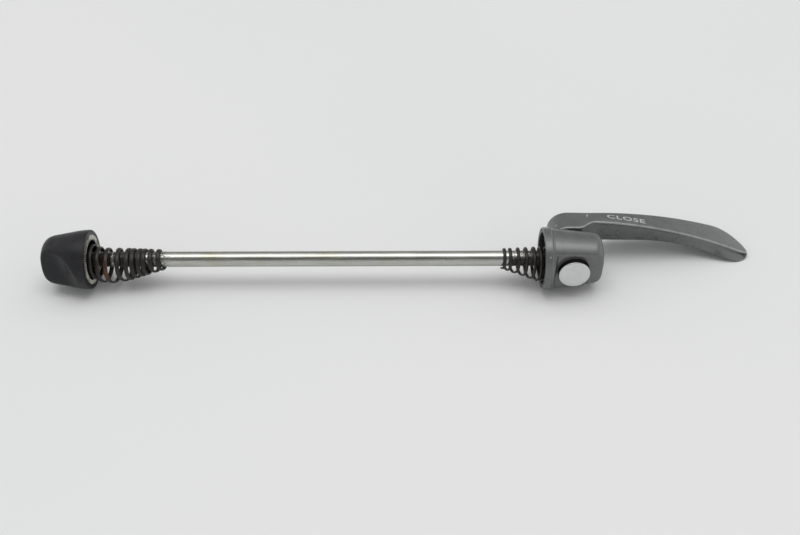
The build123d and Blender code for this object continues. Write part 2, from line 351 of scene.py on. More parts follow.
# %% Zinc plated steel, stained by grease, with painted shade on its lower side
def zinc_plate():
    """Bright streaks along the rod, yellowed in clouds, specked, and black with grease and painted shade.
    """
    finish = Finish("zinc_plate")
    streaks = finish.noise(1.6, detail=5, rough=0.6, stretch=(0.06, 1, 1))
    stains = finish.noise(0.16, detail=4, rough=0.6, offset=3)
    specks = finish.noise(3.5, detail=2, rough=0.5, offset=8)
    bright = finish.blend(finish.mask(streaks, 0.3, 0.7), (0.44, 0.445, 0.42), (0.54, 0.545, 0.51))
    yellowed = finish.blend(finish.mask(stains, 0.48, 0.72, 0, 0.75), bright, (0.44, 0.42, 0.33))
    dull = finish.blend(finish.mask(specks, 0.66, 0.76, 0, 0.5), yellowed, (0.22, 0.20, 0.16))
    smear = finish.math("ADD", finish.attribute("grease_and_shade"), finish.mask(specks, 0.3, 0.7, -0.2, 0.2))
    grease_and_shade_share = finish.mask(smear, 0.3, 0.65)
    # near black where the mark is high: grease, and painted shade on the rod's lower front
    colour = finish.blend(grease_and_shade_share, dull, (0.018, 0.013, 0.009))
    metallic = finish.mask(grease_and_shade_share, 0, 1, 1.0, 0.15)
    polish = finish.mask(streaks, 0.25, 0.75, 0.16, 0.3)
    roughness = finish.math("ADD", polish, finish.mask(grease_and_shade_share, 0, 1, 0, 0.12))
    normal = finish.bump(streaks, 0.01, 0.5)
    return finish.shade(colour, roughness, metallic, normal)


rod_finish = zinc_plate()

# %% The forged eye
eye_r = rod_high[0] - pivot_x
eye_half = rod_high[1]
eye_z = rod_high[2] - eye_r
eye_hole_r = 3.85
eye_slot_half, eye_slot_rise = 0.5, 3.0
eye_edge = 0.35


def rod_eye(around):
    """A ring about the pivot: round outside, slotted inside, in section a rectangle with broken corners."""
    turn = np.linspace(0, 2 * np.pi, around, endpoint=False)[:, None]
    inner, outer, bevel = eye_hole_r + eye_edge, eye_r - eye_edge, eye_half - eye_edge
    radius = np.array([inner, outer, eye_r, eye_r, outer, inner, eye_hole_r, eye_hole_r])
    depth = np.array([-eye_half, -eye_half, -bevel, bevel, eye_half, eye_half, bevel, -bevel])
    slot = eye_slot_half * np.clip(eye_slot_rise * np.sin(turn), -1, 1)
    x = pivot_x + radius * np.cos(turn)
    z = eye_z + radius * np.sin(turn) + np.where(radius < outer, slot, 0)
    return np.stack([x, np.broadcast_to(depth, x.shape), z], axis=-1)


eye = rod_eye(around=96)
print("eye of", eye.shape[0], "sections, outer radius", round(eye_r, 2))

# %% The bar and its thread
thread_pitch = 0.8
thread_depth = 0.43
thread_flat = 0.15
thread_length = 23.0
thread_fade = 2.0
rod_chamfer = 0.5
rod_tip_x = rod_low[0]
shank_gap = 0.45


def rod_radius(x, turn):
    """Bar radius less a groove: a triangle wave of x in pitches less the turn, faded out and chamfered."""
    wave = np.abs(2 * (((x - rod_tip_x) / thread_pitch - turn) % 1) - 1)
    groove = np.clip((1 + 2 * thread_flat) * wave - thread_flat, 0, 1)
    fade = np.clip((rod_tip_x + thread_length - x) / thread_fade, 0, 1)
    tip = rod_r - rod_chamfer + (x - rod_tip_x)
    return np.minimum(rod_r - thread_depth * groove * fade, tip)


def turned_bar(places, around):
    """Points of a bar on the X axis: at each place and turn, the radius times the cosine and sine."""
    turn = np.arange(around) / around
    x, t = np.meshgrid(places, turn, indexing="ij")
    radius = rod_radius(x, t)
    return np.stack([x, radius * np.cos(2 * np.pi * t), radius * np.sin(2 * np.pi * t)], axis=-1)


thread_places = np.arange(rod_tip_x, rod_tip_x + thread_length, thread_pitch / 12)
plain_places = np.linspace(rod_tip_x + thread_length, pivot_x - eye_hole_r - shank_gap, 60)
shank = with_closed_ends(turned_bar(np.concatenate([thread_places, plain_places]), around=40))
print("thread of", round(thread_length / thread_pitch, 1), "turns on a bar of", len(shank), "rings")

# %% Grease on the rod, and painted shade on its lower front
nut_grease = ((-160, 1), (-128.6, 1), (-127.4, 0.35), (-125.6, 0.35), (-125, 0.6), (-122, 0.5), (-117, 0))
head_grease = ((-14, 0), (-10, 0.35), (-6, 0.5), (0, 0.9))
# painted shade with grease: the lower front half of the rod is darkened inside the head spring
lower_grease_and_shade = ((-12, 0), (-10, 0.9), (0, 1))
shaded_side_direction = np.array([0, -0.67, -0.74])
wiped_rings, wiped_width, wiped_share = (-143.0, -137.7), 0.7, 0.8


def level_at(x, pairs):
    """Value at x on the straight lines that join pairs of a place and a value."""
    return np.interp(x, *zip(*pairs))


def rod_grease_and_shade(points):
    """Thick inside both springs and at the nut, thin in between, with two rings wiped clean by the coils.

    Inside the head spring the lower front is grease and painted shade: half at the middle, all below."""
    x = points[..., 0]
    # painted shade: the side that faces down and forward is darkened, as under the coils
    lower_grease_and_shade_share = np.clip(0.5 + 2 * (points @ shaded_side_direction) / rod_r, 0, 1) * level_at(x, lower_grease_and_shade)
    thick = np.maximum(np.maximum(level_at(x, nut_grease), level_at(x, head_grease)), lower_grease_and_shade_share)
    wiped = sum(wiped_share * np.exp(-((x - ring) / wiped_width) ** 2) for ring in wiped_rings)
    return np.clip(thick - wiped, 0, 1)


rod_marks = {"grease_and_shade": [rod_grease_and_shade(shank), np.ones(eye.shape[:2])]}
rod_mesh = make_mesh("rod_with_thread", [(shank, False, True), (eye, True, True)], rod_marks)
add_piece("rod_with_thread", rod_mesh, "rod", rod_finish, ["rod"])

# %% [markdown]
# ## The springs
#
# Each spring is a cone of flattened wire with cut ends. The wire's centre line is a helix whose radius
# grows towards the wide end, and because the coil is slack it hangs on the rod by its upper side, so its
# axis drops by as much as the radius grows. Handled springs are never even, so the places where the wire
# passes lowest are given turn by turn, and a smooth curve runs through them. The turns also lean: a wire
# that lies square over the rod makes most of its way along it below, so the share of the way that is made
# at each quarter of a turn is given too. The two springs are wound to opposite hands.

# %% Blackened spring wire, rusty in patches
def black_wire():
    """Nearly black and grainy, and brown where the rust mark is high and a cloud of noise agrees."""
    finish = Finish("black_wire", Metallic=0.3)
    patches = finish.noise(0.3, detail=4, rough=0.6, offset=5)
    grain = finish.noise(4.0, detail=3, rough=0.6)
    rusty = finish.math("MULTIPLY", finish.attribute("rust"), finish.mask(patches, 0.25, 0.5))
    black = finish.blend(finish.mask(grain, 0.35, 0.7), (0.010, 0.010, 0.009), (0.024, 0.0235, 0.021))
    rust = finish.blend(finish.mask(grain, 0.35, 0.65), (0.06, 0.020, 0.010), (0.19, 0.066, 0.030))
    colour = finish.blend(rusty, black, rust)
    roughness = finish.mask(grain, 0.3, 0.7, 0.3, 0.46)
    normal = finish.bump(grain, 0.02, 0.5)
    return finish.shade(colour, roughness, None, normal)


wire_finish = black_wire()

# %% A hanging coil
coil_clearance = 0.06
wire_half_height = 0.33
coil_narrow_r = rod_r + coil_clearance + wire_half_height
seat_drop, seat_reach = 0.25, 3.0
steps_per_turn, wire_sides = 48, 20


def smooth_through(values, at):
    """Catmull-Rom curve: cubics between the values, with slopes of half the step between neighbours."""
    values = np.asarray(values, float)
    before, after = 2 * values[0] - values[1], 2 * values[-1] - values[-2]
    v = np.concatenate([[before], values, [after]])
    k = np.clip(np.floor(at).astype(int), 0, len(values) - 2)
    t = at - k
    a, b, c, d = v[k], v[k + 1], v[k + 2], v[k + 3]
    return b + 0.5 * t * (c - a + t * (2 * a - 5 * b + 4 * c - d + t * (3 * (b - c) + d - a)))


def coil(lows, from_turn, to_turn, hand, climb, cone, wire_half_width, seat_x=None):
    """An oval tube along a hanging conical helix: x follows the low points, radius and drop follow x.

    From its low point the wire climbs by the far side where hand is 1, and by the near side where it is
    -1. Climb is the share of a turn's way along the rod that is made after one, two and three quarters of
    it. Turns that lie in a seat drop less."""
    turn = np.linspace(from_turn, to_turn, int(steps_per_turn * (to_turn - from_turn)))
    quarters = (np.arange(len(lows))[:, None] + np.array((0, *climb))).ravel()
    x = smooth_through(lows, smooth_through(quarters, 4 * turn))
    radius = level_at(x, cone)
    drop = radius - coil_narrow_r
    if seat_x is not None:
        drop = drop * (seat_drop + (1 - seat_drop) * np.clip((x - seat_x) / seat_reach, 0, 1))
    angle = 2 * np.pi * turn
    out = np.stack([0 * x, hand * np.sin(angle), -np.cos(angle)], axis=-1)
    path = np.stack([x, 0 * x, -drop], axis=-1) + radius[:, None] * out
    along = np.gradient(path, axis=0)
    along /= np.linalg.norm(along, axis=1, keepdims=True)
    side = np.cross(along, out)
    side /= np.linalg.norm(side, axis=1, keepdims=True)
    outward = np.cross(side, along)
    round_angle = np.linspace(0, 2 * np.pi, wire_sides, endpoint=False)[None, :, None]
    height, width = wire_half_height * np.cos(round_angle), wire_half_width * np.sin(round_angle)
    return path[:, None] + height * outward[:, None] + width * side[:, None]


head_lows = (-13.2, -11.7, -9.7, -7.05, -4.55, -2.0, 0.0, 2.0)
head_cone = ((-13.4, 2.95), (-12.1, 3.2), (-1.5, 5.3))
head_coil = coil(head_lows, from_turn=0.08, to_turn=6.9, hand=-1, climb=(0.70, 0.76, 0.80),
                 cone=head_cone, wire_half_width=0.5)
nut_lows = (-147.0, -145.4, -143.6, -141.2, -138.0, -134.1, -132.5, -130.3, -128.6, -127.0, -124.2, -122.2)
nut_cone = ((-146.5, 4.9), (-143.5, 5.3), (-139, 5.5), (-134, 5.08), (-122.2, 3.1))
nut_coil = coil(nut_lows, from_turn=0.5, to_turn=11.0, hand=1, climb=(0.25, 0.42, 0.55),
                cone=nut_cone, wire_half_width=0.72, seat_x=core_high[0])
print("rings along the wire: head", len(head_coil), "nut", len(nut_coil))

# %% Rust, and the springs as pieces
rust_reach, rust_least = (1.3, 3.0, 2.6), 0.04


def spring_piece(name, node, points, rust_place):
    """The closed wire, with a mark that falls away on all sides of the place where it has rusted."""
    closed = with_closed_ends(points)
    away = (closed - rust_place) / rust_reach
    rust = rust_least + np.exp(-(away ** 2).sum(axis=-1))
    mesh = make_mesh(name, [(closed, False, True)], {"rust": [rust]})
    add_piece(name, mesh, node, wire_finish, [node], 60)


spring_piece("head_spring_wire", "head_spring", head_coil, (-5, 4, -3))
spring_piece("nut_spring_wire", "nut_spring", nut_coil, (-139.6, -5.0, -0.8))

# %% [markdown]
# ## The lever
#
# The lever is a forging: a round boss at the pivot and a blade that curves down to the table. Its near
# side steps clear of the head in an S, leans under, and meets the top in a ridge. A block with rounded
# edges can't hold such changes, so the blade is a loft: at each distance from the pivot the section is a
# quadrilateral with rounded corners, and its four corners follow simple arcs. The rest of the boss is the
# upper half of the first section, spun half a turn about the pivot, so the two meet point for point.

# %% Arcs that guide the corners
def arc_through(x, first, middle, last):
    """Height at x of the circle through three points."""
    (ax, ay), (bx, by), (cx, cy) = first, middle, last
    twice = 2 * np.array([[bx - ax, by - ay], [cx - ax, cy - ay]])
    squares = np.array([bx * bx + by * by - ax * ax - ay * ay, cx * cx + cy * cy - ax * ax - ay * ay])
    mx, my = np.linalg.solve(twice, squares)
    radius = math.hypot(ax - mx, ay - my)
    return my + math.copysign(1, by - my) * np.sqrt(np.maximum(radius ** 2 - (x - mx) ** 2, 0))


def arc_leaving(x, start, slope, end):
    """Height at x of the circle that leaves start with a slope and passes through end."""
    normal = np.array([-slope, 1]) / math.hypot(1, slope)
    step = np.subtract(end, start)
    radius = step @ step / (2 * step @ normal)
    mx, my = np.add(start, radius * normal)
    return my - math.copysign(1, radius) * np.sqrt(np.maximum(radius ** 2 - (x - mx) ** 2, 0))


def way(x, low, high):
    """How far x has come on its way from low to high, held at 0 and 1."""
    return np.clip((x - low) / (high - low), 0, 1)


def ease(x, low, high):
    """0 below low, 1 above high, and a smooth step between."""
    t = way(x, low, high)
    return t * t * (3 - 2 * t)


def swell(x, rise, fall):
    """0, then 1 after a rise, then 0 again after a fall: one smooth step times one less another."""
    return ease(x, *rise) * (1 - ease(x, *fall))


def soft_max(a, b, size):
    """The larger of two numbers, raised by a parabola where they differ by less than size."""
    overlap = np.maximum(size - np.abs(a - b), 0) / size
    return np.maximum(a, b) + overlap * overlap * size / 4


def soft_min(a, b, size):
    """The smaller of two numbers, lowered by a parabola where they differ by less than size."""
    return -soft_max(-a, -b, size)


print("soft maximum of 1 and 1.1:", round(float(soft_max(1, 1.1, 0.4)), 3))

# %% The lever's outline
boss_r = pivot_x - lever_low[0]
blade_length = lever_high[0] - pivot_x
shelf_y = lever_low[1]
blade_top_r = 139.0
near_y = 11.4
root_y = 16.5
far_mid = (31.2, 18.9)
far_wide = (51.0, 21.5)
tip_y = 12.4
belly_z = -5.45
belly_flat = 34.0
heel_back = 3.8
neck_angle = math.radians(-58)
root_blend = 0.4
shoulder_start = 2.5
shoulder_width = 6.7
ridge_turn = 57.0
undercut, undercut_in, undercut_out, undercut_middle = 3.6, (6.5, 13.5), (25, 57), 0.3
far_flare, flare_rise, flare_fall = 4.25, (4.5, 18), (28, 53)
far_sag, sag_rise, sag_fall = 1.0, (8, 18), (34, 50)
tip_round, tip_width = 1.0, 0.15
tip_foot, foot_in = 1.3, (46, 57)
lean_end = 58.0


def top_height(s):
    """The marked face falls away on a large circle that is level at the pivot."""
    return boss_r - blade_top_r + np.sqrt(blade_top_r ** 2 - s ** 2)


def lower_height(s):
    """Boss circle, then a level line, an arc to the heel, and an arc up to the tip."""
    neck = (boss_r * math.cos(neck_angle), boss_r * math.sin(neck_angle))
    slope = (belly_z - neck[1]) / (belly_flat - neck[0])
    heel = (blade_length - heel_back, lever_low[2])
    tip = (blade_length, top_height(blade_length))
    level = neck[1] + slope * (s - neck[0])
    boss = -np.sqrt(np.maximum(boss_r ** 2 - s ** 2, 0))
    root = soft_min(boss, level, root_blend)
    fall = arc_leaving(s, (belly_flat, belly_z), slope, heel)
    nose = arc_leaving(s, heel, 0.0, tip)
    return np.select([s < boss_r, s < belly_flat, s < heel[0]], [root, level, fall], nose)


def far_edge(s):
    """Straight at the boss, then two arcs: a long swelling one and a round nose."""
    root = (boss_r, root_y)
    long_arc = arc_through(s, root, far_mid, far_wide)
    step = 0.01
    before = arc_through(far_wide[0] - step, root, far_mid, far_wide)
    nose = arc_leaving(s, far_wide, (far_wide[1] - before) / step, (blade_length, tip_y + tip_round))
    return np.select([s < boss_r, s < far_wide[0]], [root_y + 0 * s, long_arc], nose)


def far_lean(s):
    """How far the far side flares out towards the table: most in the first half, nothing at both ends."""
    return far_flare * swell(s, flare_rise, flare_fall)


def ridge_edge(s):
    """Two parabolas make the S of the shoulder, then a straight ridge that rounds off at the tip."""
    t = way(s, shoulder_start, shoulder_start + shoulder_width)
    rise = np.where(t < 0.5, 2 * t * t, 1 - 2 * (1 - t) ** 2)
    turn_in = way(s, ridge_turn, blade_length) ** 2
    rounding = tip_round * (1 - np.sqrt(1 - way(s, blade_length - tip_round, blade_length) ** 2))
    return shelf_y + (near_y - shelf_y) * rise + (tip_y - near_y - tip_width) * turn_in + rounding


def near_lean(s):
    """How far the near side leans under: full after the shoulder, past upright before the tip."""
    fade = undercut_middle + (1 - undercut_middle) * np.cos(np.pi * way(s, *undercut_out))
    lean = undercut * ease(s, *undercut_in) * fade - tip_foot * ease(s, *foot_in)
    return lean * np.sqrt(1 - way(s, lean_end, blade_length) ** 2)


def far_drop(s):
    """How much lower the underside is on the far side than on the near side."""
    return far_sag * swell(s, sag_rise, sag_fall)


stations = np.array([0, 10, 30, 50, 60])
print("width by station:", np.round(far_edge(stations) - ridge_edge(stations), 2).tolist())
print("height by station:", np.round(top_height(stations) - lower_height(stations), 2).tolist())

# %% [markdown]
# A rounded corner of a slanted section needs no circle fitting. From a corner, step along both sides by
# the same length: one less the sine along the first and one less the cosine along the second gives a
# quarter of a circle, sheared to the corner's own angle, that starts and ends along the sides.

# %% Sections of the lever
ridge_land = 0.6
lip_drop = 0.9
lip_share = 0.3
crown, crown_rise, crown_fall = 0.25, (7, 14), (52, blade_length)
upward_steps, corner_steps, side_steps = 15, 8, (9, 7, 9)
boss_to_blade = (3, 10)
corner_limit = 0.45
# ridge, far top, far foot and near foot: size at the boss and on the blade, then weight and reach of wear
# and painted highlight
corner_sizes = ((0.5, 0.45), (0.9, 1.0), (0.9, 0.8), (0.5, 0.5))
corner_wear_and_highlight = ((1.0, 0.55), (0.5, 0.5), (0.3, 0.5), (0.4, 0.5))


def rounded_corner(corner, towards_first, towards_second, size):
    """Corner points that leave along the first side and arrive along the second, for every section."""
    theta = np.linspace(0, np.pi / 2, corner_steps)[None, :, None]
    pull = size[:, None, None]
    first, second = towards_first[:, None], towards_second[:, None]
    return corner[:, None] + pull * ((1 - np.sin(theta)) * first + (1 - np.cos(theta)) * second)


def unit(vectors):
    """Vectors divided by their own length."""
    return vectors / np.maximum(np.linalg.norm(vectors, axis=-1, keepdims=True), 1e-9)


def shares(count):
    """So many even shares of a way, without its two ends."""
    return np.arange(1, count + 1) / (count + 1)


def between(start, end, share):
    """Points between two ends of every section, at the given shares of the way."""
    return start[:, None] + share[None, :, None] * (end - start)[:, None]


def top_bulge(s, across):
    """How far the marked face bulges at a share of its width: a parabola, highest in the middle."""
    return crown * swell(s, crown_rise, crown_fall) * 4 * across * (1 - across)


def lever_sections(s):
    """Closed loops of (y, z), one for each distance s: near side, ridge, top, far side and underside."""
    top, low = top_height(s), np.minimum(lower_height(s), top_height(s))
    ridge, far = ridge_edge(s), np.maximum(far_edge(s), ridge_edge(s))
    lean = near_lean(s)
    limit = corner_limit * np.minimum(far - ridge, top - low)
    blade = ease(s, *boss_to_blade)
    sizes = [np.minimum(boss + (end - boss) * blade, limit) for boss, end in corner_sizes]
    far_low = (far + far_lean(s), low - far_drop(s))
    places = [np.stack(pair, -1) for pair in ((ridge, top), (far, top), far_low, (ridge + lean, low))]
    a, b, c, d = places
    lip_y = ridge + lip_share * np.maximum(lean, 0)
    lip_z = top - np.minimum(ridge_land + lip_drop, top - low)
    down = np.stack([0 * s, -1 + 0 * s], -1)
    first_sides = (down, unit(a - b), unit(b - c), unit(c - d))
    second_sides = (unit(b - a), unit(c - b), unit(d - c), unit(np.stack([lip_y, lip_z], -1) - d))
    corners = [rounded_corner(*corner) for corner in zip(places, first_sides, second_sides, sizes)]
    eased = 0.5 - 0.5 * np.cos(np.pi * shares(upward_steps))
    upward = between(corners[3][:, -1], corners[0][:, 0], eased)
    height = upward[..., 1]
    curl = np.clip(((top - ridge_land)[:, None] - height) / lip_drop, 0, 1)
    under = np.clip((lip_z[:, None] - height) / np.maximum(lip_z - low, 1e-6)[:, None], 0, 1)
    upward[..., 0] = (ridge[:, None] + curl * (lip_y - ridge)[:, None]
                      + under * (ridge + lean - lip_y)[:, None])
    sides = [between(corners[i][:, -1], corners[i + 1][:, 0], shares(steps))
             for i, steps in enumerate(side_steps)]
    sides[0][..., 1] += top_bulge(s[:, None], shares(side_steps[0]))
    around = [upward, corners[0]]
    for side, corner in zip(sides, corners[1:]):
        around += [side, corner]
    loop = np.concatenate(around, axis=1)
    # wear and painted highlight: strongest along the ridge, where the lamp's bright line falls
    wear_and_highlight = sum(weight * np.exp(-(np.linalg.norm(loop - place[:, None], axis=-1) / reach) ** 2)
               for place, (weight, reach) in zip(places, corner_wear_and_highlight))
    return loop, wear_and_highlight


print("corner sizes on the blade:", [on_blade for _, on_blade in corner_sizes])

# %% Loft the blade and spin the boss
root_end, blade_start, nose_start = 12.0, 12.8, 50.0
boss_steps = 48
blade_s = np.concatenate([
    np.linspace(0, root_end, 61), np.linspace(blade_start, nose_start, 40),
    blade_length - (blade_length - nose_start) * (1 - np.linspace(0, 1, 70)[1:]) ** 2,
])
loops, loop_wear_and_highlight = lever_sections(blade_s)
blade_x = np.broadcast_to(pivot_x + blade_s[:, None, None], (*loops.shape[:2], 1))
blade_points = np.concatenate([blade_x, loops], -1)
near_middle = upward_steps // 2
far_middle = upward_steps + corner_steps + side_steps[0] + corner_steps + side_steps[1] // 2
profile = loops[0, near_middle:far_middle + 1]
half_turn = np.linspace(0, np.pi, boss_steps)[:, None]
boss_points = np.stack([pivot_x - profile[None, :, 1] * np.sin(half_turn),
                        np.broadcast_to(profile[None, :, 0], (boss_steps, len(profile))),
                        profile[None, :, 1] * np.cos(half_turn)], -1)
boss_wear_and_highlight = np.broadcast_to(loop_wear_and_highlight[0, near_middle:far_middle + 1], boss_points.shape[:2])
print("lever:", len(loops), "sections of", loops.shape[1], "points")

# %% Satin grey paint, rubbed bright along the ridge, with a painted highlight there
paint_metal = 0.5


def grey_paint(name, nicks=(), worn=False, with_painted_shade=False):
    """Grey metallic paint, faint mottle, hairline scuffs, edges rubbed bright with a painted highlight,
    nicks, painted shade.
    """
    finish = Finish(name)
    mottle = finish.noise(0.25, detail=4, rough=0.6)
    fine = finish.noise(2.6, detail=3, rough=0.6, offset=4)
    scratches = finish.noise(1.1, detail=4, rough=0.65, stretch=(0.12, 1, 1), distort=0.4, offset=9)
    grey = finish.blend(finish.mask(mottle, 0.3, 0.7), (0.148, 0.153, 0.151), (0.170, 0.176, 0.173))
    colour = finish.blend(finish.mask(scratches, 0.64, 0.74, 0, 0.4), grey, (0.20, 0.205, 0.20))
    # wear and painted highlight: the corners are mixed towards bright metal
    if worn:
        rub_and_highlight = finish.mask(finish.attribute("wear_and_highlight"), 0.3, 1.0)
        patchy_rub_and_highlight = finish.math("MULTIPLY", rub_and_highlight, finish.mask(mottle, 0.3, 0.65, 0.6, 1.0))
        colour = finish.blend(patchy_rub_and_highlight, colour, (0.42, 0.425, 0.42))
    for place, reach, stretch, chip in nicks:
        colour = finish.blend(finish.near(place, reach, stretch), colour, chip)
    metallic = paint_metal
    if with_painted_shade:
        # painted shade: near black and not metallic where the mark is high
        grime_and_shade = finish.attribute("grime_and_shade")
        colour = finish.blend(grime_and_shade, colour, (0.010, 0.009, 0.008))
        metallic = finish.mask(grime_and_shade, 0, 1, paint_metal, 0.0)
    roughness = finish.mask(mottle, 0.3, 0.7, 0.26, 0.32)
    normal = finish.bump(fine, 0.007, 0.3)
    return finish.shade(colour, roughness, metallic, normal)


bright_chip, dark_chip = (0.45, 0.45, 0.44), (0.03, 0.03, 0.03)
# each nick: place, reach, stretch, colour
lever_nicks = (
    ((pivot_x + 6.65, 14.5, 6.0), 0.45, (0.9, 0.45, 1), bright_chip),
    ((pivot_x + 7.1, 14.2, 6.0), 0.3, (1, 0.5, 1), dark_chip),
    ((pivot_x - 4.3, 11.1, 5.0), 0.5, (0.6, 1, 0.5), bright_chip),
)
lever_paint = grey_paint("lever_paint", lever_nicks, worn=True)
lever_grids = [(blade_points, False, True), (boss_points, False, False)]
lever_mesh = make_mesh("lever_forging", lever_grids, {"wear_and_highlight": [loop_wear_and_highlight, boss_wear_and_highlight]})
add_piece("lever_forging", lever_mesh, "lever", lever_paint, ["lever"], 50)

# %% [markdown]
# One plain word is printed on the lever, on the side that faces out when the wheel is held. It is set as
# text, turned into a mesh, and then every point of it is moved onto the top face: its place along the
# line becomes a distance from the pivot, its height a distance across, and the face gives the rest.

# %% Print the word
word_start, word_length = 13.2, 12.7
word_y, word_slope, word_height = 13.5, -0.06, 1.85
print_thickness, print_sunk = 0.14, 0.4


def top_face(s, y):
    """Height of the marked face at a distance from the pivot and a place across it."""
    ridge_round, far_round = corner_sizes[0][1], corner_sizes[1][1]
    across = way(y, ridge_edge(s) + ridge_round, far_edge(s) - far_round)
    return top_height(s) + top_bulge(s, across)


def pale_print():
    """Pale grey ink, darker where it has worn thin."""
    finish = Finish("pale_print", Roughness=0.5)
    gaps = finish.noise(1.6, detail=4, rough=0.6)
    colour = finish.blend(finish.mask(gaps, 0.4, 0.75), (0.52, 0.525, 0.52), (0.36, 0.365, 0.36))
    return finish.shade(colour)


word_text = bpy.data.curves.new("close_word", "FONT")
word_text.body = "CLOSE"
word_text.space_character = 1.12
word_text.extrude = 0.05
word_text.offset = 0.02
setter = bpy.data.objects.new("close_setter", word_text)
bpy.context.collection.objects.link(setter)
word_mesh = bpy.data.meshes.new_from_object(setter.evaluated_get(bpy.context.evaluated_depsgraph_get()))
bpy.data.objects.remove(setter)
letters = np.empty(len(word_mesh.vertices) * 3, np.float32)
word_mesh.vertices.foreach_get("co", letters)
letters = letters.reshape(-1, 3).astype(float)
span = np.ptp(letters, axis=0)
along, up, raised = ((letters - letters.min(axis=0)) / span).T
word_s = word_start + word_length * along
word_across = word_y + word_slope * word_length * along + word_height * up
word_z = top_face(word_s, word_across) + print_thickness * (raised - print_sunk)
printed = np.stack([pivot_x + word_s, word_across, word_z], -1) * MM
word_mesh.vertices.foreach_set("co", printed.astype(np.float32).ravel())
word_mesh.materials.clear()
close_skin(word_mesh)
add_piece("close_word", word_mesh, "lever", pale_print(), (), 30)

# %% [markdown]
# ## Carving with distances
#
# The head and the nut's cap are turned, then cut flat on two sides, and their edges are soft. Such a form
# is easy to say as one number for every point of space: how far the point lies outside. Turning gives one
# such number and each cut another, and a point is outside the whole when it is outside any of them. The
# soft maximum, which bends a little where its two numbers are equal, rounds the edge between them.
#
# To get points on the skin, rays leave the axis, and halving finds where each one comes out. All rays are
# halved together, thirty times, so the skin is exact to far below the width of a hair.

# %% Rays and rings
ray_reach = 14.0
halvings = 30


def carve(outside, start, toward):
    """Where rays from inside come out, by halving the stretch between an inner and an outer point."""
    near, far = np.zeros(start.shape[:-1]), np.full(start.shape[:-1], ray_reach)
    for _ in range(halvings):
        middle = (near + far) / 2
        out = outside(start + middle[..., None] * toward) > 0
        near, far = np.where(out, near, middle), np.where(out, middle, far)
    return start + near[..., None] * toward


def rings(x, radius, turn):
    """Circles about the X axis: one for each pair of place and radius, at the given angles."""
    x, radius = np.asarray(x, float)[:, None], np.asarray(radius, float)[:, None]
    return np.stack([x + 0 * turn, radius * np.cos(turn), radius * np.sin(turn)], -1)


def side_rays(outside, x, turn):
    """The skin found by rays that leave the axis square to it."""
    start = rings(x, 0 * x, turn)
    return carve(outside, start, rings(0 * x, 1 + 0 * x, turn))


def fan_rays(outside, x, tilt, turn):
    """The skin found by rays from one point of the axis, tilted from square towards the end by an angle."""
    start = rings(x + 0 * tilt, 0 * tilt, turn)
    return carve(outside, start, rings(np.sign(x) * np.sin(tilt), np.cos(tilt), turn))


def tooth_wave(turn, count):
    """0 at the crest of each tooth and 1 in the groove beside it, straight between."""
    return 1 - np.abs(2 * ((turn / (2 * np.pi) * count) % 1) - 1)


def toothed_rings(loop, turn, count, depth):
    """Rings by place and radius, each pushed along the axis by its share of the tooth wave's depth."""
    x, radius, share = loop.T[:3]
    points = rings(x, radius, turn)
    points[..., 0] += depth * share[:, None] * tooth_wave(turn, count)
    return points


def bar_along_y(x, radius, from_y, to_y, around=72):
    """A round bar across the head, closed at both ends, to cut a bore with."""
    turn = np.linspace(0, 2 * np.pi, around, endpoint=False)[None, :]
    y = np.array([from_y, to_y], float)[:, None]
    ring = np.stack([x + radius * np.cos(turn) + 0 * y, y + 0 * turn, radius * np.sin(turn) + 0 * y], -1)
    return with_closed_ends(ring)


print("halving leaves", ray_reach / 2 ** halvings, "mm")

# %% [markdown]
# ## The head
#
# A die casting, turned and painted: a toothed rim that bites the frame, a shallow groove, and a body that
# tapers to a rounded end. The front is cut flat for the cross shaft's round head, the back for the lever.
# Inside are a cup for the spring, a chamber for the rod's eye, and a bore for the shaft.

# %% Carve the head
rim_r, head_end = head_high[2], head_high[0]
head_turning = np.array([(0.3, rim_r), (2.1, rim_r), (2.4, rim_r - 0.25), (2.75, rim_r - 0.5),
                         (3.1, rim_r - 0.3), (head_end, 7.85)])
head_end_round = 2.8
head_edge = 0.5
front_flat_y, front_flat_x, front_taper = 6.5, 3.7, math.radians(4)
front_wall_x = 2.8
back_flat_y, back_flat_x = 7.2, 3.1
cup_r, cup_depth = rim_r - 1.55, 3.0
cup_round, lip_round, rim_break = 0.2, 0.15, 0.09
head_teeth, head_tooth_depth = 72, 0.25
head_fan_x = 12.0


def outside_head(points):
    """Distance outside the turned body and its end, or beyond the front or the back cut."""
    x, y, z = np.moveaxis(points, -1, 0)
    turned = soft_max(np.hypot(y, z) - np.interp(x, *head_turning.T), x - head_end, head_end_round)
    flat = -y - front_flat_y + (x - front_flat_x) * math.tan(front_taper)
    wall = x - front_wall_x - (rim_r + y) * (front_flat_x - front_wall_x) / (rim_r - front_flat_y)
    back = soft_min(y - back_flat_y, x - back_flat_x, head_edge)
    return soft_max(soft_max(turned, soft_min(flat, wall, head_edge), head_edge), back, head_edge)


